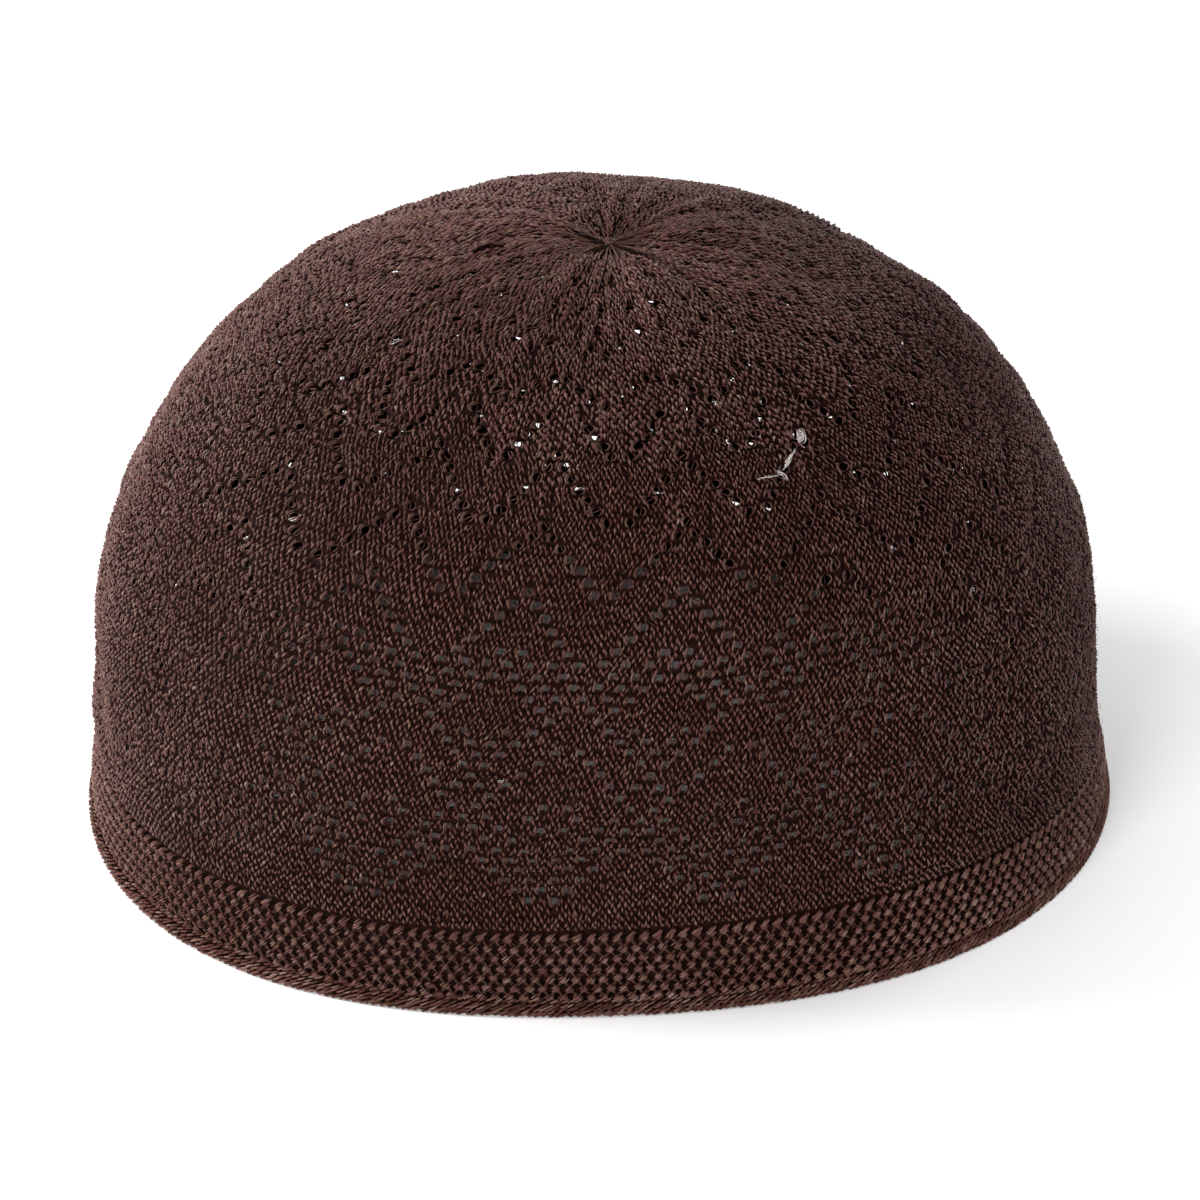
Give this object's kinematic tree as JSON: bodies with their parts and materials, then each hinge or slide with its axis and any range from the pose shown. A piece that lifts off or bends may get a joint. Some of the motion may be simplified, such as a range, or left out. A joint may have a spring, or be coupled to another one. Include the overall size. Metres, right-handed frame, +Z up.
{
  "type": "knitted kufi skull cap",
  "caption": "Close-fitting knitted skull cap: an openwork dome gathered at the crown, on a coarser knitted band with a rolled lower edge, hollow for the head.",
  "frame": {"origin": "middle of the cap's footprint, on the surface that the rim rests on", "axes": "+Z up through the crown, -Y out of the front, +X to the right seen from the front"},
  "size_m": [0.1876, 0.1678, 0.1071],
  "materials": {
    "openwork_knit": "matt dark brown fine yarn, plain knit with rows of eyelets",
    "band_knit": "matt dark brown multi-strand yarn, coarse bumpy knit",
    "edge_knit": "matt dark brown multi-strand yarn, rolled chain edge"
  },
  "bodies": {
    "root": {"crown": "openwork_knit", "band": "band_knit", "rolled_edge": "edge_knit"}
  },
  "joints": []
}
